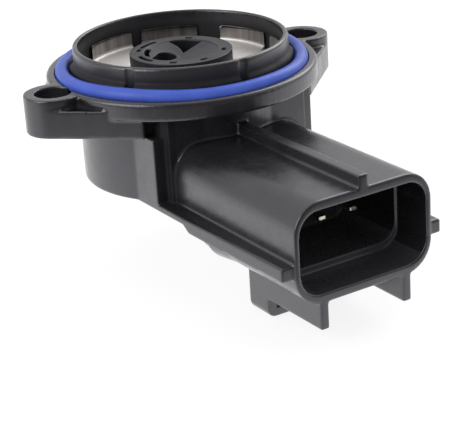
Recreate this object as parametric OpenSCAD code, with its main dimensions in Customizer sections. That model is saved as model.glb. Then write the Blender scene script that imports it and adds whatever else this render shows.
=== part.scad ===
// Throttle position sensor. The origin is on the rotor's axis, in the flange's mounting face.
// +Z points out of that face, the screw ears lie along X, and the plug socket points along -Y.

/* [Pilot collar] */
// Outer radius of the pilot collar that centres the sensor
collar_r = 16.75; // [15:0.05:19]
// Wall of the pilot collar
collar_wall = 0.85; // [0.7:0.05:1.4]
// Height of the pilot collar above the mounting face
collar_h = 3.95; // [3.4:0.05:6]
// Bevel on the collar's outer top edge
collar_bevel = 0.3; // [0.1:0.05:0.4]
// Width of the ledge round the collar's foot
ledge_w = 0.7; // [0.5:0.05:1.2]
// Height of the ledge above the mounting face
ledge_h = 1.4; // [1:0.05:2]
// Bevel on the ledge's top edge
ledge_bevel = 0.4; // [0.1:0.05:0.45]
// Number of grooves down the collar
groove_count = 6; // [3:1:8]
// Angle that each groove takes up
groove_angle = 4.7; // [3:0.1:8]
// Depth of each groove in the collar's wall
groove_depth = 0.2; // [0.1:0.05:0.5]
// Direction of the first groove
groove_start = 32; // [0:1:59]

/* [Flange] */
// Width of the flange outside the seal ring
flange_lip = 1.35; // [1:0.05:3]
// Thickness of the flange
flange_t = 2.8; // [2.2:0.1:4]
// Bevel on the flange's upper edge
flange_bevel = 0.35; // [0.1:0.05:0.6]
// Bevel on the flange's lower edge
flange_low_bevel = 0.1; // [0.05:0.05:0.4]

/* [Seal ring] */
// Thickness of the seal ring's cord
seal_d = 2.2; // [1.8:0.1:2.8]
// Height of the cord's middle above the mounting face
seal_rise = 0; // [-0.2:0.05:0.5]
// Clearance beside the seal ring in its groove
seal_fit = 0.05; // [0.02:0.01:0.15]

/* [Ears] */
// Distance between the two screw holes
hole_spacing = 45.1; // [44:0.1:50]
// Radius of each screw hole
hole_r = 2.78; // [2.2:0.02:3.2]
// Wall round each screw hole
boss_wall = 1.7; // [1.2:0.02:2.4]
// Depth of the ears below the mounting face
ear_depth = 5.9; // [5:0.1:7]
// How far the web beside each boss lies below the mounting face
web_drop = 1.5; // [1:0.1:2.2]
// How far the web stays inside the flange's edge
web_inset = 1.2; // [0.6:0.1:1.6]
// Distance from the middle plane at which the web's front turns square to the box
web_end = 15.1; // [14.6:0.1:17]

/* [Can] */
// Width of the shelf that the retainer sits on
shelf_w = 1.3; // [1:0.05:1.8]
// Wall of the can
can_wall = 1.9; // [1.5:0.05:2.4]
// Bevel round the can's lower edge
can_bevel = 0.2; // [0.1:0.1:0.8]
// Thickness of the back cover
cover_t = 1.45; // [1.2:0.05:2]
// Thickness of the back cover's rim
cover_rim_t = 0.6; // [0.4:0.05:0.8]
// Width of the back cover's rim
cover_rim_w = 0.65; // [0.4:0.05:0.8]
// Clearance round the back cover
cover_fit = 0.05; // [0.02:0.01:0.1]

/* [Box] */
// Width of the box that joins the can to the socket
box_w = 28.4; // [26:0.1:30]
// Distance of the box's front face from the rotor's axis
box_front = 15.4; // [15:0.1:18]
// How far the front panel stands out from the box's corners
panel_step = 1.1; // [0.6:0.1:1.5]
// Width of the front panel
panel_w = 24.4; // [24:0.1:25.4]
// Distance of the box floor's front edge from the rotor's axis
floor_front = 20.8; // [18:0.1:24]

/* [Plug socket] */
// Distance of the socket's mouth from the rotor's axis
mouth_reach = 46.1; // [43:0.1:52]
// Distance of the socket's top below the mounting face
shroud_drop = 7.64; // [7:0.02:9]
// Width of the socket
shroud_w = 23.36; // [22.8:0.02:24]
// Height of the socket
shroud_h = 15.04; // [14.5:0.02:16]
// Corner radius at the socket's top
shroud_top_r = 4.4; // [3.5:0.1:5]
// Corner radius at the socket's bottom
shroud_low_r = 4.6; // [4:0.1:5.6]
// Side wall of the socket at its mouth
side_wall = 0.87; // [0.7:0.01:1.2]
// Top and bottom wall of the socket at its mouth
cap_wall = 1.4; // [1.1:0.05:1.7]
// Depth of the wide part of the socket
wide_depth = 6.7; // [5:0.1:8]
// Full depth of the socket
socket_depth = 18.6; // [16:0.1:22]
// Step of the socket's sides at the end of the wide part
side_step = 0.45; // [0.3:0.05:0.7]
// Step of the socket's top and bottom at the end of the wide part
cap_step = 1.2; // [0.8:0.05:1.6]

// Thickness of the heel round the underside of the socket's rear
heel_t = 0.5; // [0.3:0.1:0.8]
// Distance of the heel's rear from the rotor's axis
heel_rear = 23.7; // [22:0.1:26]
// Gap between the heel and the latch
heel_gap = 0.2; // [0.1:0.05:0.4]

/* [Socket ribs] */
// Width of the rib on the socket's top
top_rib_w = 1.6; // [1.2:0.1:2.4]
// Height of the rib on the socket's top
top_rib_h = 1.85; // [1:0.05:2.4]
// Width of each side rib at the mouth
side_rib_w = 2; // [1:0.1:2.2]
// Thickness of each side rib
side_rib_t = 2.1; // [1.6:0.1:2.6]
// Distance of the side ribs' top below the socket's middle
side_rib_drop = 0.85; // [0.5:0.05:1.2]
// How far the side ribs end behind the mouth
side_rib_back = 0.5; // [0.2:0.1:2]

/* [Latch] */
// Width across the latch's two side plates
latch_w = 15.7; // [14:0.1:18]
// Thickness of each side plate
plate_t = 1.4; // [1:0.05:1.8]
// Drop of the side plates below the socket
plate_drop = 4.1; // [4:0.1:5]
// Drop of the latch bar below the socket
bar_drop = 7.1; // [6.8:0.1:9]
// Thickness of the latch bar
bar_t = 1.5; // [1.2:0.05:1.6]
// Length of the latch bar's loop along the socket
bar_l = 4.9; // [4:0.1:7]
// Distance of the latch's rear edge behind the mouth
latch_l = 18; // [16:0.1:20]
// Corner radius of the latch loop
latch_r = 1.4; // [0.8:0.1:1.4]
// Width of the catch on the latch bar
catch_w = 4; // [3:0.1:4.2]
// Height of the catch on the latch bar
catch_h = 1.3; // [0.6:0.1:1.4]

/* [Crown retainer] */
// Depth of the retainer's floor below the mounting face
floor_depth = 1; // [0.8:0.05:1.6]
// Thickness of the retainer's sheet
sheet_t = 0.35; // [0.25:0.05:0.45]
// Height of the tabs above the retainer's floor
tab_h = 2.5; // [1.8:0.1:3]
// Inner radius of the bend at each tab's foot
bend_r = 0.5; // [0.3:0.05:0.7]
// Angle that each tab takes up
tab_angle = 34.5; // [25:0.5:38]
// Number of tab pairs
pair_count = 4; // [3:1:4]
// Angle between the two tabs of a pair
tab_gap = 6.5; // [4:0.5:8]
// Clearance between the tabs and the collar
tab_fit = 0.05; // [0.02:0.01:0.1]

/* [Rotor] */
// Radius of the rotor's barrel
barrel_r = 8; // [7.6:0.05:8.6]
// Height of the rotor's top above the mounting face
rotor_rise = 1.85; // [1.2:0.05:2.6]
// Clearance between the barrel and the retainer
barrel_fit = 0.4; // [0.3:0.05:0.6]
// Radius of the rotor's flange
rotor_flange_r = 11.5; // [10.8:0.1:11.8]
// Thickness of the rotor's flange
rotor_flange_t = 1.5; // [1.2:0.1:1.8]
// Radius of the hub inside the spring
hub_r = 6.1; // [5.8:0.1:6.3]
// Radius of the journal that turns in the can
journal_r = 4; // [3.5:0.05:4.5]
// Running clearance of the journal in its bore
journal_fit = 0.05; // [0.02:0.01:0.1]
// Radius of the peg that carries the contact arm
peg_r = 2.6; // [2:0.1:3]
// Radius of the dish inside the rotor's ring
dish_r = 5.8; // [5.4:0.05:6.2]
// Depth of the dish's edge below the ring
dish_step = 0.1; // [0.05:0.05:0.3]
// Depth of the dish's middle below its edge
dish_depth = 1.2; // [0.5:0.1:1.8]
// Depth of the two drive pockets below the rotor's top
pocket_depth = 8.6; // [7:0.1:9]
// Radius that the pockets keep to inside the hub
well_r = 4.4; // [3.8:0.1:4.8]
// Direction of the wedge-shaped drive pocket
wedge_turn = 51; // [40:1:70]
// Angle between the sides of the wedge-shaped pocket
wedge_angle = 74; // [60:1:95]
// Distance of the wedge's corner from the axis
wedge_corner = 1.5; // [1:0.1:2.6]
// Radius of the lobe that bulges into the wedge's left side
lobe_r = 6; // [5:0.5:9]
// How far the lobe bulges into the wedge
lobe_bulge = 0.5; // [0.2:0.05:0.7]
// Radius of the slot-shaped drive pocket's two round ends
slot_r = 1.5; // [1.2:0.1:1.7]
// Direction of the slot's outer end from the axis
slot_out_turn = 191; // [185:1:197]
// Distance of the slot's outer end from the axis
slot_out_at = 3.95; // [3.6:0.05:4.1]
// Direction of the slot's inner end from the axis
slot_in_turn = 147; // [141:1:153]
// Distance of the slot's inner end from the axis
slot_in_at = 2.25; // [2.1:0.05:2.6]
// Direction of the crescent beside the ring
crescent_turn = 148; // [140:1:156]
// Angle that the crescent takes up
crescent_angle = 42; // [20:1:50]
// Width of the crescent
crescent_w = 0.7; // [0.4:0.05:0.9]
// Distance of the marks' middle line from the dish's edge
mark_in = 0.9; // [0.6:0.05:1.2]
// Depth of the marks in the ring
mark_depth = 0.8; // [0.2:0.05:1]
// Width of the marks in the ring
mark_w = 0.65; // [0.3:0.05:0.8]
// Axial clearance of everything that turns
run_gap = 0.3; // [0.25:0.05:0.4]
// Travel of the rotor in degrees
travel = 100; // [80:1:110]
// Direction of the stop lug at rest
lug_turn = 200; // [180:1:230]
// Angle that the stop lug takes up
lug_angle = 12; // [8:1:16]
// Angle that each stop in the can takes up
stop_angle = 10; // [6:1:14]
// Angle left free at each stop
stop_play = 1; // [0.5:0.1:2]
// Radial clearance of the lug and the stops
stop_gap = 0.4; // [0.3:0.05:0.6]

/* [Return spring] */
// Diameter of the spring's wire
wire_d = 0.8; // [0.6:0.05:1]
// Clearance between the spring and the hub
coil_gap = 0.7; // [0.5:0.05:0.9]
// Number of turns
coil_turns = 3; // [2:1:4]
// Clearance at the spring's seats
seat_gap = 0.1; // [0.05:0.01:0.15]
// Length of the spring's legs
leg_l = 3; // [2.4:0.1:3.2]
// Direction of the spring's legs
leg_turn = 20; // [0:1:60]
// Size of the posts that hold the legs
post_w = 1.4; // [1:0.1:1.8]

/* [Contacts] */
// Thickness of the can's bearing web
web_t = 1.4; // [1.1:0.1:1.8]
// Length of the bearing boss below the web
bearing_l = 0.8; // [0.5:0.1:1.2]
// Wall of the bearing boss
bearing_wall = 1.5; // [1.2:0.1:2]
// Thickness of the contact arm
arm_t = 1.2; // [1:0.1:1.6]
// Radius of the contact arm's ring
arm_r = 5.9; // [5.4:0.1:6.4]
// Width of the contact arm
arm_w = 4.6; // [4.2:0.1:5.4]
// Height of the contact fingers
finger_h = 1.8; // [1.5:0.1:2.4]
// Thickness of the contact fingers
finger_t = 0.2; // [0.15:0.01:0.25]
// Width of each contact finger
finger_w = 0.6; // [0.4:0.05:0.65]
// Reach of the contact fingers along the track
finger_l = 4.2; // [3.6:0.1:5]
// Clearance under the contact fingers
finger_gap = 0.05; // [0.03:0.01:0.1]
// Distance of the resistive track's middle from the board's edge
track_edge = 3.7; // [3.5:0.05:3.9]
// Distance between the two tracks
track_pitch = 2.2; // [2:0.05:2.4]
// Width of each track
track_w = 1.4; // [1.1:0.05:1.5]
// Thickness of the printed tracks
track_t = 0.1; // [0.05:0.01:0.15]
// Angle of track beyond the contact's travel at each end
track_spare = 12; // [8:1:16]
// Thickness of the track board
board_t = 1; // [0.8:0.05:1.2]
// Clearance round the track board
board_fit = 0.5; // [0.3:0.05:0.7]

/* [Terminals] */
// Distance between the terminals
pin_pitch = 5.5; // [5:0.1:5.8]
// Width of each terminal
pin_w = 1.5; // [1.2:0.05:1.8]
// Thickness of each terminal
pin_t = 0.64; // [0.5:0.02:0.8]
// Distance of the terminals' tips behind the mouth
tip_back = 9.9; // [8.5:0.1:11]
// Length of the tapered tip
tip_l = 0.8; // [0.6:0.1:1.6]
// Width left at the very tip
tip_w = 1.3; // [0.6:0.05:1.4]
// How far the outer terminals reach into the can's chamber
pin_reach = 0.8; // [0.6:0.05:1]
// Thickness of the spring clips
clip_t = 0.2; // [0.15:0.01:0.25]
// Width of the spring clips
clip_w = 1.1; // [0.8:0.05:1.2]
// Length of a printed contact pad
pad_l = 1.3; // [1.1:0.05:1.5]
// Gap under the terminals and beside the board's front edge
pin_gap = 0.12; // [0.08:0.01:0.2]

/* [Hidden] */
$fn = 96;
// A cut runs this far past the faces it opens
over = 1;
// The socket's corners are never sharper than this inside
least_corner = 1;

// Radii that follow from the collar outwards
collar_in_r = collar_r - collar_wall;
ledge_r = collar_r + ledge_w;
lip_r = ledge_r + seal_d + 2 * seal_fit;
flange_r = lip_r + flange_lip;
seal_mid_r = (ledge_r + lip_r) / 2;
seal_floor = seal_rise - seal_d / 2;
notch_r = collar_r - groove_depth;

// Radii that follow from the collar inwards
chamber_r = collar_in_r - shelf_w;
can_r = chamber_r + can_wall;
cover_r = chamber_r - cover_fit;
cover_rim_r = cover_r + cover_rim_w;
counter_r = cover_rim_r + cover_fit;

// Levels of the socket, the terminals, the cover and the board
shroud_top = -shroud_drop;
shroud_mid = shroud_top - shroud_h / 2;
shroud_low = shroud_top - shroud_h;
cover_top = shroud_mid - pin_t / 2 - pin_gap;
can_low = cover_top - cover_t;
board_top = cover_top + board_t;
track_top = board_top + track_t;

// Levels of the turning parts, from the track upwards and from the retainer downwards
arm_low = track_top + finger_h;
arm_top = arm_low + arm_t;
bearing_low = arm_top + run_gap;
web_low = bearing_low + bearing_l;
web_top = web_low + web_t;
floor_top = -floor_depth;
floor_low = floor_top - sheet_t;
flange_top_z = floor_low - run_gap;
flange_low_z = flange_top_z - rotor_flange_t;
hub_low = web_top + run_gap;
bearing_r = journal_r + journal_fit;

// Ears and their webs
boss_x = hole_spacing / 2;
boss_r = hole_r + boss_wall;
web_r = flange_r - web_inset;
web_nx = (web_r - boss_r) / boss_x;
web_ny = sqrt(1 - web_nx * web_nx);
web_face = (web_r - web_nx * web_end) / web_ny;
web_root = box_w / 2 - over;

// Plug socket
panel_front = box_front - panel_step;
socket_base = mouth_reach - socket_depth;
wide_end = mouth_reach - wide_depth;
latch_rear = mouth_reach - latch_l;
plate_low = shroud_low - plate_drop;
bar_low = shroud_low - bar_drop;
side_rib_top = shroud_mid - side_rib_drop;
side_rib_low = side_rib_top - side_rib_t;
side_rib_end = mouth_reach - side_rib_back;
// The loop's sides reach this far up into the socket's floor
latch_root = shroud_low + shroud_low_r;

// Retainer
tab_out_r = collar_in_r - tab_fit;
tab_in_r = tab_out_r - sheet_t;
bend_mid_r = tab_in_r - bend_r;
retainer_hole_r = barrel_r + barrel_fit;

// Rotor
rotor_top = rotor_rise;
dish_rim = rotor_top - dish_step;
dish_low = dish_rim - dish_depth;
pocket_low = rotor_top - pocket_depth;
pocket_r = dish_r - dish_step;
// The pockets narrow just above the flange's underside
well_top = flange_low_z + dish_step;
// Marks round the ring
mark_r = dish_r + mark_in;
short_marks = [48, 139, 228, 270, 321];
short_angle = 10;
long_marks = [[95, 129], [167, 198]];
short_spans = [for (a = short_marks) [a - short_angle / 2, a + short_angle / 2]];
lug_r = chamber_r - stop_gap;
stop_r = rotor_flange_r + stop_gap;
stop_back = lug_angle / 2 + stop_play + stop_angle;

// Return spring
coil_r = hub_r + coil_gap + wire_d / 2;
coil_low = web_top + seat_gap + wire_d / 2;
coil_top = flange_low_z - seat_gap - wire_d / 2;
post_h = 2 * wire_d + seat_gap;
post_r = coil_r + leg_l - post_w / 2;
leg_shift = wire_d;
bend_out = 0.3 * leg_shift;
bend_round = 0.7 * leg_shift;
post_shift = post_w / 2 + seat_gap + wire_d / 2 - leg_shift;
ring_steps = 26;
wire_sides = 8;

// Tracks and contact fingers, opposite the plug socket
wipe_mid = 90;
board_r = chamber_r - board_fit;
track_r = board_r - track_edge;
collector_r = track_r - track_pitch;
contact_lead = asin(2 * finger_l / (track_r + collector_r));
arm_turn = wipe_mid - travel / 2 - contact_lead;
track_from = wipe_mid - travel / 2 - track_spare;
track_to = wipe_mid + travel / 2 + track_spare;

// Terminals' inner ends, the board's front edge and its pads
outer_pin = pin_pitch + pin_w / 2;
pin_end = sqrt(chamber_r * chamber_r - outer_pin * outer_pin) - pin_reach;
board_front = pin_end - 2 * pin_gap;
pad_mid = board_front - pad_l / 2 - pin_gap;
lead_w = track_w / 2;
lead_angle = 3;
// The outer leads run through the middles of the outer pads
lead_r = norm([pin_pitch, pad_mid]) - lead_w / 2;

// Disc about a point
module corner(x, y, r) {
    translate([x, y]) circle(r);
}

// Rounded outline of the socket, drawn in X and Z, grown or shrunk by the given amounts
module socket_outline(side, cap) {
    w = shroud_w / 2 - side;
    top = shroud_top - cap;
    low = shroud_low + cap;
    rt = max(shroud_top_r - (side + cap) / 2, least_corner);
    rb = max(shroud_low_r - (side + cap) / 2, least_corner);
    for (s = [-1, 1]) {
        corner(s * (w - rt), top - rt, rt);
        corner(s * (w - rb), low + rb, rb);
    }
    translate([-(w - rt), top - rt - over]) square([2 * (w - rt), rt + over]);
    translate([-(w - rb), low]) square([2 * (w - rb), rb + over]);
    translate([-w, low + rb]) square([2 * w, top - rt - low - rb]);
}

// Extrudes an outline drawn in X and Z between two distances from the rotor's axis
module along_socket(near, far) {
    translate([0, -near, 0]) rotate([90, 0, 0]) linear_extrude(far - near) children();
}

// Ring sector between two radii, two heights and two angles
module sector(r0, r1, z0, z1, a0, a1) {
    rotate([0, 0, a0])
        rotate_extrude(angle = a1 - a0)
            translate([r0, z0]) square([r1 - r0, z1 - z0]);
}

// Everything on the housing that is round about the rotor's axis
module turned_outline() {
    polygon([
        [0, can_low],
        [can_r - can_bevel, can_low],
        [can_r, can_low + can_bevel],
        [can_r, -flange_t],
        [flange_r - flange_low_bevel, -flange_t],
        [flange_r, -flange_t + flange_low_bevel],
        [flange_r, -flange_bevel],
        [flange_r - flange_bevel, 0],
        [lip_r, 0],
        [lip_r, seal_floor],
        [ledge_r, seal_floor],
        [ledge_r, ledge_h - ledge_bevel],
        [ledge_r - ledge_bevel, ledge_h],
        [collar_r, ledge_h],
        [collar_r, collar_h - collar_bevel],
        [collar_r - collar_bevel, collar_h],
        [0, collar_h]
    ]);
}

// Hollow of the can: collar, chamber above the bearing web, chamber below it and cover seat
module turned_hollow() {
    polygon([
        [0, collar_h + over],
        [collar_in_r, collar_h + over],
        [collar_in_r, floor_low],
        [chamber_r, floor_low],
        [chamber_r, web_top],
        [bearing_r, web_top],
        [bearing_r, bearing_low],
        [bearing_r + bearing_wall, bearing_low],
        [bearing_r + bearing_wall, web_low],
        [chamber_r, web_low],
        [chamber_r, cover_top],
        [counter_r, cover_top],
        [counter_r, can_low - over],
        [0, can_low - over]
    ]);
}

// Screw ear on the given side: a round boss and a lower web that runs to the can and the box
module ear(s) {
    difference() {
        translate([s * boss_x, 0, -ear_depth]) cylinder(r = boss_r, h = ear_depth);
        // The boss's top stays out of the seal ring's groove
        translate([0, 0, -flange_t / 2]) cylinder(r = lip_r + flange_lip / 2, h = flange_t);
    }
    translate([0, 0, -ear_depth])
        linear_extrude(ear_depth - web_drop)
            polygon([
                [s * web_root, 0],
                [s * web_root, -web_face],
                [s * web_end, -web_face],
                [s * (boss_x + web_nx * boss_r), -web_ny * boss_r],
                [s * boss_x, 0],
                [s * (boss_x + web_nx * boss_r), web_ny * boss_r],
                [s * web_end, web_face],
                [s * web_end, 0]
            ]);
}

// Box between the can and the socket, with its raised front panel and its floor
module box() {
    translate([-box_w / 2, -panel_front, can_low])
        cube([box_w, panel_front, -flange_t - can_low]);
    translate([-panel_w / 2, -box_front, can_low])
        cube([panel_w, box_front, -flange_t - can_low]);
    translate([-box_w / 2, -floor_front, can_low])
        cube([box_w, floor_front - panel_front, side_rib_top - can_low]);
}

// Ribs on the socket's top and sides
module socket_ribs() {
    along_socket(box_front, mouth_reach)
        translate([-top_rib_w / 2, shroud_top - over])
            square([top_rib_w, top_rib_h + over]);
    foot = shroud_w / 2 - side_wall / 2;
    tip = shroud_w / 2 + side_rib_w;
    for (s = [-1, 1])
        translate([0, 0, side_rib_low])
            linear_extrude(side_rib_t)
                polygon([
                    [s * foot, -floor_front],
                    [s * box_w / 2, -floor_front],
                    [s * tip, -side_rib_end],
                    [s * foot, -side_rib_end]
                ]);
}

// Heel round the underside of the socket's rear
module heel() {
    along_socket(heel_rear, latch_rear - heel_gap)
        intersection() {
            socket_outline(-heel_t, -heel_t);
            translate([-shroud_w, side_rib_low - shroud_h]) square([2 * shroud_w, shroud_h]);
        }
}

// Latch under the socket: two side plates and a loop with a catch on its bar
module latch() {
    for (s = [-1, 1])
        along_socket(latch_rear, mouth_reach)
            translate([s > 0 ? latch_w / 2 - plate_t : -latch_w / 2, plate_low])
                square([plate_t, latch_root - plate_low]);
    along_socket(latch_rear, latch_rear + bar_l) {
        difference() {
            union() {
                translate([-latch_w / 2, bar_low + latch_r])
                    square([latch_w, latch_root - bar_low - latch_r]);
                translate([-latch_w / 2 + latch_r, bar_low])
                    square([latch_w - 2 * latch_r, latch_r + bar_t]);
                for (s = [-1, 1])
                    corner(s * (latch_w / 2 - latch_r), bar_low + latch_r, latch_r);
            }
            translate([-latch_w / 2 + plate_t, bar_low + bar_t])
                square([latch_w - 2 * plate_t, shroud_low - bar_low - bar_t]);
        }
        translate([-catch_w / 2, bar_low + bar_t / 2])
            square([catch_w, bar_t / 2 + catch_h]);
    }
}

// Slots for the terminals, which the housing is moulded round
module terminal_slots() {
    for (i = [-1, 0, 1])
        translate([i * pin_pitch - pin_w / 2, -socket_base - over, shroud_mid - pin_t / 2])
            cube([pin_w, socket_base + over - pin_end, pin_t]);
}

// Stops in the can for the rotor's lug, and the post for the spring's lower leg
module can_stops() {
    root_r = chamber_r + can_wall / 2;
    for (a = [lug_turn - stop_back, lug_turn + travel + stop_back - stop_angle])
        sector(stop_r, root_r, web_top - web_t / 2, floor_low, a, a + stop_angle);
    rotate([0, 0, leg_turn])
        translate([post_r - post_w / 2, post_shift - post_w / 2, web_top - web_t / 2])
            cube([post_w, post_w, post_h + web_t / 2]);
}

module housing() {
    color("#26272a") {
        difference() {
            union() {
                rotate_extrude() turned_outline();
                ear(-1);
                ear(1);
                box();
                along_socket(box_front, floor_front)
                    intersection() {
                        socket_outline(0, 0);
                        translate([-shroud_w, can_low]) square([2 * shroud_w, shroud_h]);
                    }
                along_socket(floor_front, mouth_reach) socket_outline(0, 0);
                socket_ribs();
                heel();
                latch();
            }
            rotate_extrude() turned_hollow();
            for (i = [0 : groove_count - 1]) {
                a = groove_start + i * 360 / groove_count - groove_angle / 2;
                sector(notch_r, seal_mid_r, 0, collar_h + over, a, a + groove_angle);
            }
            for (s = [-1, 1])
                translate([s * boss_x, 0, -ear_depth - over])
                    cylinder(r = hole_r, h = ear_depth + 2 * over);
            along_socket(wide_end, mouth_reach + over) socket_outline(side_wall, cap_wall);
            along_socket(socket_base, wide_end + over)
                socket_outline(side_wall + side_step, cap_wall + cap_step);
            terminal_slots();
        }
        can_stops();
    }
}

module back_cover() {
    color("#222326") {
        translate([0, 0, can_low]) cylinder(r = cover_r, h = cover_t);
        translate([0, 0, cover_top - cover_rim_t]) cylinder(r = cover_rim_r, h = cover_rim_t);
    }
}

module cover_seal() {
    color("#3a3b3e")
        rotate_extrude()
            translate([cover_r, can_low + cover_fit])
                square([counter_r - cover_r, cover_t - cover_rim_t - cover_fit]);
}

module seal_ring() {
    color("#5069cd")
        rotate_extrude() translate([seal_mid_r, seal_rise]) circle(seal_d / 2, $fn = 48);
}

// Section of a tab: flat floor, bend and upright
module tab_section() {
    translate([retainer_hole_r, floor_low]) square([bend_mid_r - retainer_hole_r, sheet_t]);
    intersection() {
        translate([bend_mid_r, floor_top + bend_r])
            difference() {
                circle(bend_r + sheet_t);
                circle(bend_r);
            }
        translate([bend_mid_r, floor_low]) square(bend_r + sheet_t);
    }
    translate([tab_in_r, floor_top + bend_r]) square([sheet_t, tab_h - bend_r]);
}

module crown_retainer() {
    pair_turn = 360 / pair_count;
    color("#cfc9c2") {
        rotate_extrude()
            translate([retainer_hole_r, floor_low]) square([bend_mid_r - retainer_hole_r, sheet_t]);
        for (p = [0 : pair_count - 1])
            for (a = [0, -tab_gap - tab_angle])
                rotate([0, 0, p * pair_turn + a])
                    rotate_extrude(angle = tab_angle) tab_section();
    }
}

// Round outline that the drive pockets keep to: wide in the barrel, narrower in the hub
module pocket_limit() {
    polygon([
        [0, pocket_low],
        [well_r, pocket_low],
        [well_r, well_top],
        [pocket_r, well_top],
        [pocket_r, rotor_top + over],
        [0, rotor_top + over]
    ]);
}

// Wedge-shaped pocket with a lobe in its left side, and slot-shaped pocket, for the shaft's two prongs
module pocket_plan() {
    side = dish_r - wedge_corner;
    spread = dish_r * tan(wedge_angle / 2);
    rotate(wedge_turn)
        translate([wedge_corner, 0])
            difference() {
                polygon([
                    [0, 0],
                    [dish_r, -spread],
                    [dish_r, spread]
                ]);
                rotate(wedge_angle / 2)
                    translate([side / 2, lobe_r - lobe_bulge]) circle(lobe_r);
            }
    hull() {
        rotate(slot_out_turn) translate([slot_out_at, 0]) circle(slot_r);
        rotate(slot_in_turn) translate([slot_in_at, 0]) circle(slot_r);
    }
}

module rotor() {
    color("#2a2b2e") {
        difference() {
            rotate_extrude()
                polygon([
                    [0, arm_low],
                    [peg_r, arm_low],
                    [peg_r, arm_top],
                    [journal_r, arm_top],
                    [journal_r, hub_low],
                    [hub_r, hub_low],
                    [hub_r, flange_low_z],
                    [rotor_flange_r, flange_low_z],
                    [rotor_flange_r, flange_top_z],
                    [barrel_r, flange_top_z],
                    [barrel_r, rotor_top],
                    [dish_r, rotor_top],
                    [dish_r, dish_rim],
                    [0, dish_low]
                ]);
            intersection() {
                rotate_extrude() pocket_limit();
                translate([0, 0, pocket_low - over])
                    linear_extrude(pocket_depth + 2 * over) pocket_plan();
            }
            sector(pocket_r - crescent_w, pocket_r, dish_low, rotor_top,
                   crescent_turn - crescent_angle / 2, crescent_turn + crescent_angle / 2);
            for (m = concat(short_spans, long_marks))
                sector(mark_r - mark_w / 2, mark_r + mark_w / 2, rotor_top - mark_depth,
                       rotor_top + over, m[0], m[1]);
        }
        sector(rotor_flange_r - over, lug_r, flange_low_z, flange_top_z,
               lug_turn - lug_angle / 2, lug_turn + lug_angle / 2);
        rotate([0, 0, leg_turn])
            translate([post_r - post_w / 2, -post_shift - post_w / 2, flange_low_z - post_h])
                cube([post_w, post_w, post_h + rotor_flange_t / 2]);
    }
}

// Point and frame on the spring's path: lower leg, coil and upper leg
function coil_point(t) =
    let (a = leg_turn + 360 * coil_turns * t, z = coil_low + (coil_top - coil_low) * t)
    [coil_r * cos(a), coil_r * sin(a), z];
function unit(v) = v / norm(v);
function ring_at(p, d, r) =
    let (side = unit(cross(d, [0, 0, 1])), up = cross(side, d))
    [for (k = [0 : wire_sides - 1])
        p + r * (cos(360 * k / wire_sides) * side + sin(360 * k / wire_sides) * up)];

// The legs leave the coil outwards, each over one small bend
module return_spring() {
    steps = coil_turns * ring_steps;
    out = [cos(leg_turn), sin(leg_turn), 0];
    round_way = [-sin(leg_turn), cos(leg_turn), 0];
    low_foot = coil_point(0);
    top_foot = coil_point(1);
    path = concat(
        [low_foot + (leg_l - wire_d) * out - leg_shift * round_way,
         low_foot + leg_shift * (out - round_way),
         low_foot + bend_out * out - bend_round * round_way],
        [for (i = [0 : steps]) coil_point(i / steps)],
        [top_foot + bend_out * out + bend_round * round_way,
         top_foot + leg_shift * (out + round_way),
         top_foot + (leg_l - wire_d) * out + leg_shift * round_way]
    );
    last = len(path) - 1;
    rings = [for (i = [0 : last])
        ring_at(path[i], unit(path[min(i + 1, last)] - path[max(i - 1, 0)]), wire_d / 2)];
    points = [for (r = rings) for (p = r) p];
    sides = [for (i = [0 : last - 1]) for (k = [0 : wire_sides - 1])
        let (n = (k + 1) % wire_sides, a = i * wire_sides, b = a + wire_sides)
        each [[a + k, b + k, b + n], [a + k, b + n, a + n]]];
    start_cap = [[for (k = [0 : wire_sides - 1]) k]];
    end_cap = [[for (k = [wire_sides - 1 : -1 : 0]) last * wire_sides + k]];
    color("#8d9094") polyhedron(points, concat(start_cap, sides, end_cap));
}

// Moulded arm on the rotor's peg, over the middle of its sweep's start
module contact_arm() {
    reach = track_r + track_w / 2;
    color("#c9bfa2")
        translate([0, 0, arm_low])
            difference() {
                union() {
                    cylinder(r = arm_r, h = arm_t);
                    rotate([0, 0, arm_turn])
                        translate([0, -arm_w / 2, 0]) cube([reach, arm_w, arm_t]);
                }
                translate([0, 0, -over]) cylinder(r = peg_r, h = arm_t + 2 * over);
            }
}

// Sprung metal contact: a plate under the arm and four fingers that lean down to the tracks
module wiper() {
    low = track_top + finger_gap;
    inner = collector_r - track_w / 2;
    outer = track_r + track_w / 2;
    split = track_w / 2;
    color("#d8c690")
        rotate([0, 0, arm_turn]) {
            translate([inner, -arm_w / 2, arm_low - finger_t])
                cube([outer - inner, arm_w - finger_l / 2, finger_t]);
            for (r = [collector_r, track_r])
                for (s = [-1, 1])
                    translate([r + s * split / 2 - finger_w / 2, 0, 0])
                        rotate([90, 0, 90])
                            linear_extrude(finger_w)
                                polygon([
                                    [-arm_w / 4, arm_low - finger_t],
                                    [0, arm_low - finger_t],
                                    [finger_l - 2 * finger_t, low],
                                    [finger_l, low + finger_t],
                                    [finger_l, low + 2 * finger_t],
                                    [finger_l - 2 * finger_t, low + finger_t],
                                    [finger_t, arm_low],
                                    [-arm_w / 4, arm_low]
                                ]);
        }
}

module track_board() {
    color("#e9e4da")
        intersection() {
            translate([0, 0, cover_top]) cylinder(r = board_r, h = board_t);
            translate([-board_r, -board_front, cover_top])
                cube([2 * board_r, board_front + board_r, board_t]);
        }
}

module resistive_track() {
    color("#17181a")
        sector(track_r - track_w / 2, track_r + track_w / 2, board_top, track_top,
               track_from, track_to);
}

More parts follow.
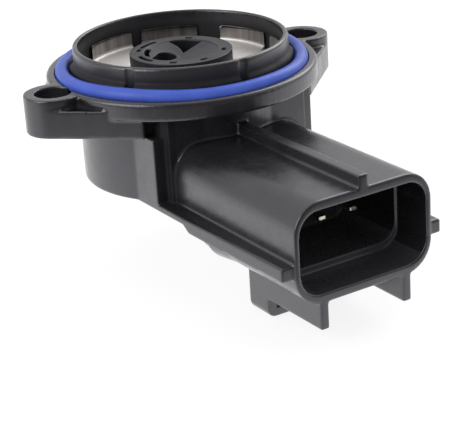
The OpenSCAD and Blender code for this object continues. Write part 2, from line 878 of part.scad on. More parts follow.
// Collector track, end leads and pads, printed on the board
module conductor_traces() {
    pad_turn = atan2(-pad_mid, pin_pitch);
    half_turn = 180;
    color("#c8c9cb") {
        sector(collector_r - track_w / 2, collector_r + track_w / 2, board_top, track_top,
               track_from, track_to);
        // Leads round the board's edge from the resistive track's two ends
        sector(lead_r, lead_r + lead_w, board_top, track_top, pad_turn, track_from - lead_angle / 2);
        sector(lead_r, lead_r + lead_w, board_top, track_top,
               track_to + lead_angle / 2, half_turn - pad_turn);
        for (a = [track_from - lead_angle, track_to])
            sector(track_r - track_w / 2, lead_r + lead_w / 2, board_top, track_top, a, a + lead_angle);
        // Lead from the collector round to the middle pad
        sector(collector_r - lead_w / 2, collector_r + lead_w / 2, board_top, track_top, track_to, 270);
        translate([-lead_w / 2, -pad_mid, board_top])
            cube([lead_w, pad_mid - collector_r, track_t]);
        for (i = [-1, 0, 1])
            translate([i * pin_pitch - pin_w / 2, -pad_mid - pad_l / 2, board_top])
                cube([pin_w, pad_l, track_t]);
    }
}

// Terminal in the given place: a flat bar with a tapered tip in the socket
module terminal(i) {
    tip = mouth_reach - tip_back;
    color("#d9c9a0")
        translate([i * pin_pitch, 0, shroud_mid - pin_t / 2])
            linear_extrude(pin_t)
                polygon([
                    [-pin_w / 2, -pin_end],
                    [pin_w / 2, -pin_end],
                    [pin_w / 2, -tip + tip_l],
                    [tip_w / 2, -tip],
                    [-tip_w / 2, -tip],
                    [-pin_w / 2, -tip + tip_l]
                ]);
}

// Spring clip in the given place, from the terminal's end over to the board's pad
module clip(i) {
    foot = shroud_mid + pin_t / 2;
    heel = pin_end + pin_w / 2;
    toe = pad_mid - pad_l / 4;
    crest = track_top + 2 * clip_t;
    color("#d2b86a")
        translate([i * pin_pitch - clip_w / 2, 0, 0])
            rotate([90, 0, 90])
                linear_extrude(clip_w)
                    polygon([
                        [-heel, foot],
                        [-pin_end, foot],
                        [-pin_end + clip_t, crest],
                        [-pad_mid - clip_t, crest],
                        [-pad_mid, track_top],
                        [-toe, track_top],
                        [-toe, track_top + clip_t],
                        [-pad_mid + clip_t, track_top + clip_t],
                        [-pad_mid, crest + clip_t],
                        [-pin_end, crest + clip_t],
                        [-pin_end - clip_t, foot + clip_t],
                        [-heel, foot + clip_t]
                    ]);
}

module supply_terminal() { terminal(-1); }
module signal_terminal() { terminal(0); }
module ground_terminal() { terminal(1); }
module supply_clip() { clip(-1); }
module signal_clip() { clip(0); }
module ground_clip() { clip(1); }

housing();
back_cover();
cover_seal();
seal_ring();
crown_retainer();
rotor();
return_spring();
contact_arm();
wiper();
track_board();
resistive_track();
conductor_traces();
supply_terminal();
signal_terminal();
ground_terminal();
supply_clip();
signal_clip();
ground_clip();
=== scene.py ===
import math

import bmesh
import bpy
import numpy as np
from mathutils import Matrix, Vector


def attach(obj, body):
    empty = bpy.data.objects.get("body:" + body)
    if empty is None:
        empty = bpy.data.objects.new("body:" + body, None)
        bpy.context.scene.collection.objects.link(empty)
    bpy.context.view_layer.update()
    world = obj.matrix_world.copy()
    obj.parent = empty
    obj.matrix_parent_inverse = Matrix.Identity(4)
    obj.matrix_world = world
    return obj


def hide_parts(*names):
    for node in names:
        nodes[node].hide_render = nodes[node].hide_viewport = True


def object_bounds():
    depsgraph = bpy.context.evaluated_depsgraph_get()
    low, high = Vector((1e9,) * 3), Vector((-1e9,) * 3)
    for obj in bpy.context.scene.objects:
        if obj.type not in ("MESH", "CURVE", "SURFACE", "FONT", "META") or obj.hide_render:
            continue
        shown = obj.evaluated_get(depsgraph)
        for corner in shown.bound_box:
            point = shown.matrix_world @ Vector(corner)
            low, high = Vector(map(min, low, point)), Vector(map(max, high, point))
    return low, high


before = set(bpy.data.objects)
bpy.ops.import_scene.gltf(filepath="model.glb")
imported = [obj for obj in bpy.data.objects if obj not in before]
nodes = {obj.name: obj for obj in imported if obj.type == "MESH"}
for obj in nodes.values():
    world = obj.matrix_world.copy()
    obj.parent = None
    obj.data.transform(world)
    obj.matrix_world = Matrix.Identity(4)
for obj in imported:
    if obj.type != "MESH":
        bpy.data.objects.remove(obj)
cad_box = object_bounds()
MM = 0.001
# How near two places in a shape count as one, and how near the corners of loose triangles are joined
SAME_PLACE = 0.01 * MM
SAME_POINT = 1e-7

# Camera, as solved from the photograph
PHOTO_W, PHOTO_H = 470, 440
CAMERA_AT = Vector((-122.57, -209.3, 71.89)) * MM
CAMERA_TURN = -31.951
CAMERA_RISE = 22.227
CAMERA_ROLL = -3.537
FOCAL_PX = 1617.21
SENSOR_W = 36.0

# Lamps: where they stand, what they face, how wide they are and their watts
LEFT_LAMP_AT = (-0.55, -0.05, 0.3)
RIGHT_LAMP_AT = (0.5, 0.2, 0.4)
LAMPS_FACE = (0, -0.015, -0.01)
LAMP_W = 0.5
LAMP_POWER = 1.6

# Surroundings: the direction of the darker room, the cosines between which it sets in, and its level
ROOM_SIDE = (-0.2, -0.93, 0.3)
ROOM_EDGE = (0.35, 0.8)
ROOM_LEVEL = 0.15
SKY_LEVEL = 0.86
FILL_LEVEL = 0.8
# Floor: how far it lies under the part, its half width, its colour, what camera rays see on top of it, and what
# reflections see near the part and far from it, where 1 is white and the near one is brighter than that, with
# the distances between which that falls off, and those towards the room between which it ends
FLOOR_DROP = 0.2 * MM
FLOOR_HALF = 3.0
FLOOR_GREY = 0.2
FLOOR_GLOW = 0.85
FLOOR_GLEAM = (1.2, 1.0)
FLOOR_REACH = (0.03, 0.11)
FLOOR_SIDE = (-0.35, -0.937, 0)
FLOOR_EDGE = (0.04, 0.095)

# Cell, smoothing steps and triangles of the rounded mouldings
HOUSING_ROUNDING = (0.2 * MM, 9, 185000)
ROTOR_ROUNDING = (0.1 * MM, 4, 150000)

# Retainer: sheet, inner bend, corners of the tabs, where the tabs start and how far they run in each quarter,
# and the levels between which the floor's finish gives way to that of the tabs, which are coloured darker as
# painted shade
SHEET_T = 0.35 * MM
BEND_R = 0.5 * MM
TAB_CORNER_R = 0.55 * MM
TAB_STARTS = (0, 49)
TAB_ANGLE = 34.5
QUARTER = 90
BEND_LEVELS = (-0.75 * MM, -0.35 * MM)
SHEET_FLOOR_DULLNESS = 0.35

# Heel under the socket: where its end face stands, its thickness, the middle and radius of the corner that it
# follows, and the share of its thickness that it loses at its end
HEEL_END = -27.9 * MM
HEEL_T = 0.5 * MM
HEEL_CORNER = (7.1 * MM, -18.08 * MM)
HEEL_CORNER_R = 4.6 * MM
HEEL_TAPER = 0.9
# Socket ribs' rear ends: where they stand, their lowest level, and how far their feet are cut back
RIB_REAR = -20.8 * MM
RIB_LOW = -18.11 * MM
RIB_CUT = 1.6 * MM
# Hollows in the moulding beside the left ear and over the box's left end: plan points in order, and levels,
# all in millimetres
EAR_HOLLOW = ([(-19.5, -8.4), (-23.1, -5.1), (-20.95, -4.35)], -5.0, -1.2)
BOX_HOLLOW = ([(-14.6, -14.7), (-14.6, -11.3), (-12.6, -11.3), (-12.6, -14.7)], -5.9, -2.9)

# Seal ring as it lies: directions, spans and heights of where it stands proud or has sunk
RING_WAVES = ((212, 45, 0.35 * MM), (318, 40, -0.25 * MM))

# Seal ring's groove with the collar over it, corner beside the box and hollow beside the ear: where the plastic
# is duller and its reflections carry painted shade, the levels between which that fades up the collar, how much
# rougher it is and the shine it loses as painted shade
GROOVE_R = (15.4 * MM, 19.8 * MM)
GROOVE_LEVELS = (-1.3 * MM, 4.0 * MM)
GROOVE_FADE = (1.4 * MM, 3.6 * MM)
CORNER_X = (-14.1 * MM, -11.0 * MM)
CORNER_Y = (-16.2 * MM, -11.0 * MM)
CORNER_LEVELS = (-20.0 * MM, -2.85 * MM)
HOLLOW_X = (-23.6 * MM, -18.9 * MM)
HOLLOW_Y = (-9.0 * MM, -4.0 * MM)
HOLLOW_SLANT = (-28.4 * MM, -20.0 * MM)
HOLLOW_LEVELS = (-5.3 * MM, -1.0 * MM)
WALL_DULLNESS = 0.3
WALL_REFLECTION_SHADE = 0.8
# Inside of the socket, and how much paler the plastic is coloured there as painted light, to match the photo's
# tone
SOCKET_X = 9.9 * MM
SOCKET_Y = (-46.0 * MM, -22.0 * MM)
SOCKET_Z = (-22.1 * MM, -11.5 * MM)
SOCKET_PAINTED_LIGHT = 2.7
# Plastic: the tint of its gleam, the height of its grain and that of its slow waves
PLASTIC_GLEAM = (0.95, 0.92, 1, 1)
PLASTIC_GRAIN = 0.002 * MM
PLASTIC_WAVE = 0.012 * MM

# Small bevels on metal, and on the back cover
METAL_BEVEL = 0.06 * MM
TERMINAL_BEVEL = 0.18 * MM
COVER_BEVEL = 0.15 * MM
COVER_RECESS = 0.25 * MM
COVER_RECESS_SHARE = 0.72


def mapped(tree, value, numbers, kind="LINEAR"):
    """Takes a socket's value from one range to another; the numbers are the ends of both"""
    step = tree.nodes.new("ShaderNodeMapRange")
    step.interpolation_type = kind
    for name, number in zip(("From Min", "From Max", "To Min", "To Max"), numbers):
        step.inputs[name].default_value = number
    tree.links.new(value, step.inputs["Value"])
    return step.outputs["Result"]


def reckoned(tree, operation, *values):
    """One sum on sockets or plain numbers"""
    node = tree.nodes.new("ShaderNodeMath")
    node.operation = operation
    for socket, value in zip(node.inputs, values):
        if isinstance(value, (int, float)):
            socket.default_value = value
        else:
            tree.links.new(value, socket)
    return node.outputs[0]


def facing(tree, place, direction):
    """How far a place lies in a direction"""
    product = tree.nodes.new("ShaderNodeVectorMath")
    product.operation = "DOT_PRODUCT"
    product.inputs[1].default_value = direction
    tree.links.new(place, product.inputs[0])
    return product.outputs["Value"]


def make_camera():
    turn, rise, roll = map(math.radians, (CAMERA_TURN, CAMERA_RISE, CAMERA_ROLL))
    back = Vector((math.sin(turn) * math.cos(rise), -math.cos(turn) * math.cos(rise), math.sin(rise)))
    right = Vector((math.cos(turn), math.sin(turn), 0))
    up = back.cross(right)
    across = math.cos(roll) * right + math.sin(roll) * up
    upright = -math.sin(roll) * right + math.cos(roll) * up
    data = bpy.data.cameras.new("photo_camera")
    data.sensor_width = SENSOR_W
    data.lens = FOCAL_PX * SENSOR_W / PHOTO_W
    data.clip_start, data.clip_end = 0.01, 10
    camera = bpy.data.objects.new("photo_camera", data)
    bpy.context.scene.collection.objects.link(camera)
    axes = Matrix((across, upright, back)).transposed().to_4x4()
    camera.matrix_world = Matrix.Translation(CAMERA_AT) @ axes
    bpy.context.scene.camera = camera


# Stage and light
def make_world():
    """White surroundings that reflections see fall off to a darker room on the camera's side"""
    world = bpy.data.worlds.new("studio")
    bpy.context.scene.world = world
    world.use_nodes = True
    tree = world.node_tree
    tree.nodes.clear()
    out = tree.nodes.new("ShaderNodeOutputWorld")
    place = tree.nodes.new("ShaderNodeTexCoord")
    towards_room = facing(tree, place.outputs["Generated"], ROOM_SIDE)
    room = mapped(tree, towards_room, (*ROOM_EDGE, SKY_LEVEL, ROOM_LEVEL), "SMOOTHSTEP")
    shown = tree.nodes.new("ShaderNodeBackground")
    tree.links.new(room, shown.inputs["Strength"])
    fill = tree.nodes.new("ShaderNodeBackground")
    fill.inputs["Strength"].default_value = FILL_LEVEL
    for shader in (shown, fill):
        shader.inputs["Color"].default_value = (1, 1, 1, 1)
    path = tree.nodes.new("ShaderNodeLightPath")
    seen = reckoned(tree, "MAXIMUM", path.outputs["Is Camera Ray"], path.outputs["Is Glossy Ray"])
    seen = reckoned(tree, "MAXIMUM", seen, path.outputs["Is Transmission Ray"])
    mix = tree.nodes.new("ShaderNodeMixShader")
    tree.links.new(seen, mix.inputs["Fac"])
    tree.links.new(fill.outputs[0], mix.inputs[1])
    tree.links.new(shown.outputs[0], mix.inputs[2])
    tree.links.new(mix.outputs[0], out.inputs["Surface"])


def make_floor():
    """White floor that keeps the part's shadow, with a glow that camera rays and reflections see"""
    low = cad_box[0].z - FLOOR_DROP
    bm = bmesh.new()
    bmesh.ops.create_grid(bm, x_segments=8, y_segments=8, size=FLOOR_HALF)
    mesh = bpy.data.meshes.new("floor")
    bm.to_mesh(mesh)
    bm.free()
    mesh.transform(Matrix.Translation((0, 0, low)))
    floor = bpy.data.objects.new("floor", mesh)
    bpy.context.scene.collection.objects.link(floor)
    material = bpy.data.materials.new("white_floor")
    material.use_nodes = True
    tree = material.node_tree
    shader = tree.nodes["Principled BSDF"]
    shader.inputs["Base Color"].default_value = (FLOOR_GREY, FLOOR_GREY, FLOOR_GREY, 1)
    shader.inputs["Roughness"].default_value = 0.8
    shader.inputs["Specular IOR Level"].default_value = 0.2
    shader.inputs["Emission Color"].default_value = (1, 1, 1, 1)
    place = tree.nodes.new("ShaderNodeTexCoord")
    towards_room = facing(tree, place.outputs["Object"], FLOOR_SIDE)
    fall = mapped(tree, towards_room, (*FLOOR_EDGE, 1, 0), "SMOOTHSTEP")
    away = tree.nodes.new("ShaderNodeVectorMath")
    away.operation = "LENGTH"
    tree.links.new(place.outputs["Object"], away.inputs[0])
    reach = mapped(tree, away.outputs["Value"], (*FLOOR_REACH, *FLOOR_GLEAM), "SMOOTHSTEP")
    path = tree.nodes.new("ShaderNodeLightPath")
    gleam = reckoned(tree, "MULTIPLY", reach, fall)
    mirrored = reckoned(tree, "MULTIPLY", path.outputs["Is Glossy Ray"], gleam)
    lift = reckoned(tree, "MULTIPLY_ADD", path.outputs["Is Camera Ray"], FLOOR_GLOW, mirrored)
    tree.links.new(lift, shader.inputs["Emission Strength"])
    floor.data.materials.append(material)


def make_lamp(name, at):
    data = bpy.data.lights.new(name, "AREA")
    data.shape = "DISK"
    data.size = LAMP_W
    data.energy = LAMP_POWER
    lamp = bpy.data.objects.new(name, data)
    lamp.location = at
    lamp.rotation_euler = (Vector(LAMPS_FACE) - Vector(at)).to_track_quat("-Z", "Y").to_euler()
    bpy.context.scene.collection.objects.link(lamp)


# The values between which nearly all of a noise lies
NOISE_RANGE = (0.3, 0.7)


# Node helpers for the finishes
class Finish:
    """A material with its nodes, built by short calls"""

    def __init__(self, name, color, roughness, metallic=0.0, specular=0.6):
        self.material = bpy.data.materials.new(name)
        self.material.use_nodes = True
        self.tree = self.material.node_tree
        self.nodes = self.tree.nodes
        self.links = self.tree.links
        self.shader = self.nodes["Principled BSDF"]
        self.shader.inputs["Base Color"].default_value = (*color, 1)
        self.shader.inputs["Roughness"].default_value = roughness
        self.shader.inputs["Metallic"].default_value = metallic
        self.shader.inputs["Specular IOR Level"].default_value = specular
        self.place = self.nodes.new("ShaderNodeTexCoord")
        self.heights = []

    def noise(self, scale, detail, stretch=None):
        """Noise of the given number of cells per metre"""
        texture = self.nodes.new("ShaderNodeTexNoise")
        texture.inputs["Scale"].default_value = scale
        texture.inputs["Detail"].default_value = detail
        source = self.place.outputs["Object"]
        if stretch:
            mapping = self.nodes.new("ShaderNodeMapping")
            mapping.inputs["Scale"].default_value = stretch
            self.links.new(source, mapping.inputs["Vector"])
            source = mapping.outputs["Vector"]
        self.links.new(source, texture.inputs["Vector"])
        return texture.outputs["Fac"]

    def ramp(self, value, low, high, dark, light):
        """Colour that runs from the dark to the light one while the value goes from low to high"""
        ramp = self.nodes.new("ShaderNodeValToRGB")
        ramp.color_ramp.elements[0].position = low
        ramp.color_ramp.elements[1].position = high
        ramp.color_ramp.elements[0].color = (*dark, 1)
        ramp.color_ramp.elements[1].color = (*light, 1)
        self.links.new(value, ramp.inputs["Fac"])
        return ramp.outputs["Color"]

    def spread(self, value, low, high):
        """A noise's values, which lie between NOISE_RANGE, taken to the range from low to high"""
        return self.ramp_up(value, *NOISE_RANGE, low, high)

    def color(self, socket):
        self.links.new(socket, self.shader.inputs["Base Color"])

    def roughness(self, socket):
        self.links.new(socket, self.shader.inputs["Roughness"])

    def ramp_up(self, value, low, high, start, end):
        """Goes from start to end while the value goes from low to high"""
        return mapped(self.tree, value, (low, high, start, end))

    def math(self, operation, first, second):
        return reckoned(self.tree, operation, first, second)

    def places(self):
        """Place across, along and above the mounting face"""
        parts = self.nodes.new("ShaderNodeSeparateXYZ")
        self.links.new(self.place.outputs["Object"], parts.inputs[0])
        return parts.outputs

    def within(self, *ranges):
        """1 where every value lies between its own limits, else 0"""
        share = 1
        for value, low, high in ranges:
            share = self.math("MULTIPLY", share, self.math("GREATER_THAN", value, low))
            share = self.math("MULTIPLY", share, self.math("LESS_THAN", value, high))
        return share

    def blended(self, share, first, second):
        """The first colour where the share is 0, and the second where it is 1"""
        mix = self.nodes.new("ShaderNodeMix")
        mix.data_type = "RGBA"
        self.links.new(share, mix.inputs[0])
        for socket, color in zip(mix.inputs[6:8], (first, second)):
            if isinstance(color, bpy.types.NodeSocket):
                self.links.new(color, socket)
            else:
                socket.default_value = (*color, 1)
        return mix.outputs[2]

    def distance(self):
        """Distance from the rotor's axis"""
        flat = self.nodes.new("ShaderNodeVectorMath")
        flat.operation = "MULTIPLY"
        flat.inputs[1].default_value = (1, 1, 0)
        self.links.new(self.place.outputs["Object"], flat.inputs[0])
        length = self.nodes.new("ShaderNodeVectorMath")
        length.operation = "LENGTH"
        self.links.new(flat.outputs[0], length.inputs[0])
        return length.outputs["Value"]

    def bump(self, value, depth, strength):
        """Adds a height in metres on top of those before"""
        bump = self.nodes.new("ShaderNodeBump")
        bump.inputs["Strength"].default_value = strength
        bump.inputs["Distance"].default_value = depth
        self.links.new(value, bump.inputs["Height"])
        if self.heights:
            self.links.new(self.heights[-1], bump.inputs["Normal"])
        self.heights.append(bump.outputs["Normal"])
        self.links.new(bump.outputs["Normal"], self.shader.inputs["Normal"])


def shades(color, *levels):
    """The colour at each of the levels"""
    return [tuple(min(1, c * level) for c in color) for level in levels]


def moulded_plastic(name, color, roughness, specular=0.6):
    """Moulded plastic: soft flow streaks, uneven gloss and a fine grain, with painted shade on the reflections
    in narrow places and painted light inside the socket
    """
    finish = Finish(name, color, roughness, specular=specular)
    streaks = finish.noise(260, 4, stretch=(1, 0.35, 1))
    outer = finish.ramp(streaks, *NOISE_RANGE, *shades(color, 0.82, 1.22))
    gloss = finish.spread(finish.noise(420, 5), roughness - 0.05, roughness + 0.06)
    # Narrow places are duller and lose shine as painted shade on their reflections, to match the photo, where
    # the ring and the floor don't show in their walls
    across, along, height = finish.places()
    distance = finish.distance()
    groove = finish.within((distance, *GROOVE_R), (height, *GROOVE_LEVELS))
    groove = finish.math("MULTIPLY", groove, finish.ramp_up(height, *GROOVE_FADE, 1, 0))
    corner = finish.within((across, *CORNER_X), (along, *CORNER_Y), (height, *CORNER_LEVELS))
    slanted = finish.math("ADD", across, along)
    hollow = finish.within(
        (across, *HOLLOW_X), (along, *HOLLOW_Y), (slanted, *HOLLOW_SLANT), (height, *HOLLOW_LEVELS))
    painted_light_inside = finish.within((across, -SOCKET_X, SOCKET_X), (along, *SOCKET_Y), (height, *SOCKET_Z))
    walls = finish.math("MAXIMUM", groove, finish.math("MAXIMUM", corner, hollow))
    finish.roughness(finish.math("ADD", gloss, finish.math("MULTIPLY", walls, WALL_DULLNESS)))
    # Painted shade: the shine is cut where the walls would hide reflections
    shine = finish.math("SUBTRACT", specular, finish.math("MULTIPLY", walls, WALL_REFLECTION_SHADE * specular))
    finish.links.new(shine, finish.shader.inputs["Specular IOR Level"])
    # Painted light: the plastic is coloured paler inside the socket
    finish.color(finish.blended(painted_light_inside, outer, *shades(color, SOCKET_PAINTED_LIGHT)))
    finish.shader.inputs["Specular Tint"].default_value = PLASTIC_GLEAM
    finish.bump(finish.noise(5200, 2), PLASTIC_GRAIN, 0.6)
    finish.bump(finish.noise(150, 2), PLASTIC_WAVE, 0.5)
    return finish.material


def silicone(name, color):
    """Soft rubber with a faint bloom"""
    finish = Finish(name, color, 0.42, specular=0.35)
    finish.color(finish.ramp(finish.noise(300, 3), *NOISE_RANGE, *shades(color, 0.9, 1.1)))
    finish.roughness(finish.spread(finish.noise(900, 3), 0.36, 0.5))
    finish.bump(finish.noise(3000, 3), 0.006 * MM, 0.6)
    return finish.material


def stainless(name, color, roughness):
    """Stamped sheet with drawn marks up and down, its tabs coloured darker as painted shade of the dark walls
    they reflect, to match the photo's tone
    """
    finish = Finish(name, color, roughness, metallic=1.0)
    marks = finish.noise(900, 4, stretch=(1, 1, 0.06))
    pale = finish.ramp(marks, *NOISE_RANGE, *shades(color, 0.94, 1))
    # Painted shade: the tabs' colour stands in for the dark walls they reflect
    dark = finish.ramp(marks, *NOISE_RANGE, *shades(color, 0.17, 0.36))
    upright = finish.ramp_up(finish.places()["Z"], *BEND_LEVELS, 0, 1)
    finish.color(finish.blended(upright, pale, dark))
    finish.roughness(finish.ramp_up(upright, 0, 1, roughness + SHEET_FLOOR_DULLNESS, roughness))
    finish.bump(finish.noise(2600, 3, stretch=(1, 1, 0.1)), 0.0006 * MM, 0.5)
    return finish.material


def bright_metal(name, color, roughness):
    """Drawn or plated metal with slightly uneven gloss"""
    finish = Finish(name, color, roughness, metallic=1.0)
    finish.color(finish.ramp(finish.noise(1500, 3), *NOISE_RANGE, *shades(color, 0.88, 1)))
    finish.roughness(finish.spread(finish.noise(2500, 3), roughness - 0.05, roughness + 0.1))
    finish.bump(finish.noise(6000, 2), 0.001 * MM, 0.5)
    return finish.material


def fired_substrate(name, color):
    """Fine-grained matt ceramic or fired film"""
    finish = Finish(name, color, 0.55)
    finish.color(finish.ramp(finish.noise(2400, 4), 0.35, 0.65, *shades(color, 0.93, 1)))
    finish.roughness(finish.spread(finish.noise(1800, 3), 0.48, 0.62))
    finish.bump(finish.noise(9000, 2), 0.002 * MM, 0.6)
    return finish.material


HOUSING = moulded_plastic("housing_moulding", (0.014, 0.014, 0.0155), 0.26, 1.0)
COVER = moulded_plastic("cover_moulding", (0.010, 0.0102, 0.011), 0.42)
POTTING = moulded_plastic("cured_sealant", (0.022, 0.022, 0.024), 0.25)
ROTOR = moulded_plastic("rotor_moulding", (0.009, 0.009, 0.0125), 0.45, 0.45)
RING = silicone("blue_silicone", (0.06, 0.115, 0.55))
SHEET = stainless("stamped_stainless", (0.78, 0.745, 0.72), 0.2)
WIRE = bright_metal("spring_wire", (0.5, 0.51, 0.53), 0.3)
ARM = moulded_plastic("natural_moulding", (0.55, 0.48, 0.34), 0.45)
CONTACT = bright_metal("contact_alloy", (0.86, 0.72, 0.44), 0.22)
BOARD = fired_substrate("fired_substrate", (0.8, 0.77, 0.71))
FILM = fired_substrate("resistive_film", (0.02, 0.02, 0.022))
SILVER = bright_metal("silver_film", (0.8, 0.8, 0.81), 0.35)
TERMINAL = bright_metal("tinned_brass", (0.88, 0.82, 0.68), 0.24)


def dress(node, material):
    """Gives a CAD node its finish"""
    slots = nodes[node].data.materials
    slots.clear()
    slots.append(material)


def link(name, mesh):
    made = bpy.data.objects.new(name, mesh)
    bpy.context.scene.collection.objects.link(made)
    return made


def merged_copy(node, name):
    """A copy of a CAD node's mesh with its loose triangles joined"""
    mesh = nodes[node].data.copy()
    mesh.name = name
    mesh.materials.clear()
    bm = bmesh.new()
    bm.from_mesh(mesh)
    bmesh.ops.remove_doubles(bm, verts=bm.verts, dist=SAME_POINT)
    bm.to_mesh(mesh)
    bm.free()
    return link(name, mesh)


def baked(piece):
    """Applies the piece's modifiers"""
    graph = bpy.context.evaluated_depsgraph_get()
    mesh = bpy.data.meshes.new_from_object(piece.evaluated_get(graph))
    piece.modifiers.clear()
    old = piece.data
    piece.data = mesh
    bpy.data.meshes.remove(old)
    return piece


def rounded(piece, cell, steps, triangles):
    """Rounds every edge a little, as a moulding's are: a fine mesh, smoothed near the edges"""
    sharp = piece.copy()
    sharp.data = piece.data.copy()
    bpy.context.scene.collection.objects.link(sharp)
    remesh = piece.modifiers.new("fine", "REMESH")
    remesh.mode = "VOXEL"
    remesh.voxel_size = cell
    fit = piece.modifiers.new("fit", "SHRINKWRAP")
    fit.target = sharp
    fit.wrap_method = "NEAREST_SURFACEPOINT"
    soften = piece.modifiers.new("soften", "SMOOTH")
    soften.factor = 0.5
    soften.iterations = steps
    baked(piece)
    bpy.data.objects.remove(sharp)
    count = sum(len(p.vertices) - 2 for p in piece.data.polygons)
    thin = piece.modifiers.new("thin", "DECIMATE")
    thin.ratio = min(1.0, triangles / count)
    baked(piece)
    piece.data.shade_smooth()
    return piece


def even_shading(piece):
    weigh = piece.modifiers.new("even_shading", "WEIGHTED_NORMAL")
    weigh.mode = "FACE_AREA"
    weigh.weight = 60
    weigh.keep_sharp = False
    return baked(piece)


def finish(piece, material, body, node, slot):
    """Gives the piece its material and has it stand for the CAD node"""
    piece.data.materials.clear()
    piece.data.materials.append(material)
    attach(piece, body)
    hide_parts(node)


def round_sizes(node):
    """Inner and outer radius round the rotor's axis, and lowest and highest level, of a CAD node"""
    points = np.array([v.co for v in nodes[node].data.vertices])
    radii = np.hypot(points[:, 0], points[:, 1])
    return radii.min(), radii.max(), points[:, 2].min(), points[:, 2].max()


def revolved(name, outline, steps):
    """Turns a closed outline of radii and heights round the rotor's axis; outlines run anticlockwise"""
    bm = bmesh.new()
    rings = []
    for k in range(steps):
        a = 2 * math.pi * k / steps
        rings.append([bm.verts.new((r * math.cos(a), r * math.sin(a), z)) for r, z in outline])
    for k in range(steps):
        here, there = rings[k], rings[(k + 1) % steps]
        for i in range(len(outline)):
            j = (i + 1) % len(outline)
            bm.faces.new((here[i], there[i], there[j], here[j]))
    bmesh.ops.recalc_face_normals(bm, faces=bm.faces)
    mesh = bpy.data.meshes.new(name)
    bm.to_mesh(mesh)
    bm.free()
    mesh.shade_smooth()
    return link(name, mesh)


def arc(middle_r, middle_z, radius, start, end, steps):
    """Points on an arc of an outline, between two angles in degrees"""
    turns = np.radians(np.linspace(start, end, steps + 1))
    return [(middle_r + radius * math.cos(t), middle_z + radius * math.sin(t)) for t in turns]


def prism(bm, outline, low, high):
    """Adds an upright prism over plan points given in millimetres"""
    rings = [[bm.verts.new((x * MM, y * MM, z * MM)) for x, y in outline] for z in (low, high)]
    bm.faces.new(rings[0])
    bm.faces.new(rings[1])
    for i in range(len(outline)):
        j = (i + 1) % len(outline)
        bm.faces.new((rings[0][i], rings[0][j], rings[1][j], rings[1][i]))


def hollow_out(piece):
    """Cuts the hollows beside the ear and over the box's end into the moulding"""
    bm = bmesh.new()
    for hollow in (EAR_HOLLOW, BOX_HOLLOW):
        prism(bm, *hollow)
    bmesh.ops.recalc_face_normals(bm, faces=bm.faces)
    mesh = bpy.data.meshes.new("hollows")
    bm.to_mesh(mesh)
    bm.free()
    cutter = link("hollows", mesh)
    cut = piece.modifiers.new("hollows", "BOOLEAN")
    cut.operation = "DIFFERENCE"
    cut.solver = "EXACT"
    cut.object = cutter
    baked(piece)
    bpy.data.objects.remove(cutter)


def ease_socket(piece):
    """Tapers the heel's end into the socket and slants the ribs' rear ends"""
    middle_x, middle_z = HEEL_CORNER
    for vertex in piece.data.vertices:
        x, y, z = vertex.co
        if abs(y - HEEL_END) < SAME_PLACE and z < middle_z + 2 * HEEL_T:
            near_x, near_z = min(abs(x), middle_x), max(z, middle_z)
            out = Vector((abs(x) - near_x, 0, z - near_z))
            if out.length > HEEL_CORNER_R + HEEL_T / 2:
                out *= (out.length - HEEL_TAPER * HEEL_T) / out.length
                vertex.co.x = math.copysign(near_x + out.x, x)
                vertex.co.z = near_z + out.z
        if abs(y - RIB_REAR) < SAME_PLACE and abs(z - RIB_LOW) < 5 * SAME_PLACE:
            vertex.co.y -= RIB_CUT


def bevelled(piece, width, segments):
    """Gives the piece a modifier that rounds its sharp edges"""
    bevel = piece.modifiers.new("edges", "BEVEL")
    bevel.width = width
    bevel.segments = segments
    bevel.limit_method = "ANGLE"
    bevel.angle_limit = math.radians(40)
    bevel.harden_normals = True
    return piece


def soften_edges(node, width, segments=3):
    """Joins a CAD node's loose triangles and rounds its edges by modifiers alone"""
    weld = nodes[node].modifiers.new("joined", "WELD")
    weld.merge_threshold = SAME_POINT
    bevelled(nodes[node], width, segments)


def make_housing():
    piece = merged_copy("housing", "housing_moulding")
    ease_socket(piece)
    hollow_out(piece)
    rounded(piece, *HOUSING_ROUNDING)
    finish(even_shading(piece), HOUSING, "case", "housing", "housing_plastic")


def make_rotor():
    piece = rounded(merged_copy("rotor", "rotor_moulding"), *ROTOR_ROUNDING)
    finish(even_shading(piece), ROTOR, "turning_set", "rotor", "rotor_plastic")


def make_seal_ring():
    inner, outer, low, high = round_sizes("seal_ring")
    outline = arc((inner + outer) / 2, (low + high) / 2, (outer - inner) / 2, 0, 360, 48)[:-1]
    cord = revolved("seal_ring_cord", outline, 360)
    for vertex in cord.data.vertices:
        turn = math.degrees(math.atan2(vertex.co.y, vertex.co.x)) % 360
        for middle, span, height in RING_WAVES:
            share = min(1, abs(turn - middle) / span)
            vertex.co.z += height * math.cos(share * math.pi / 2) ** 2
    finish(cord, RING, "case", "seal_ring", "seal_rubber")


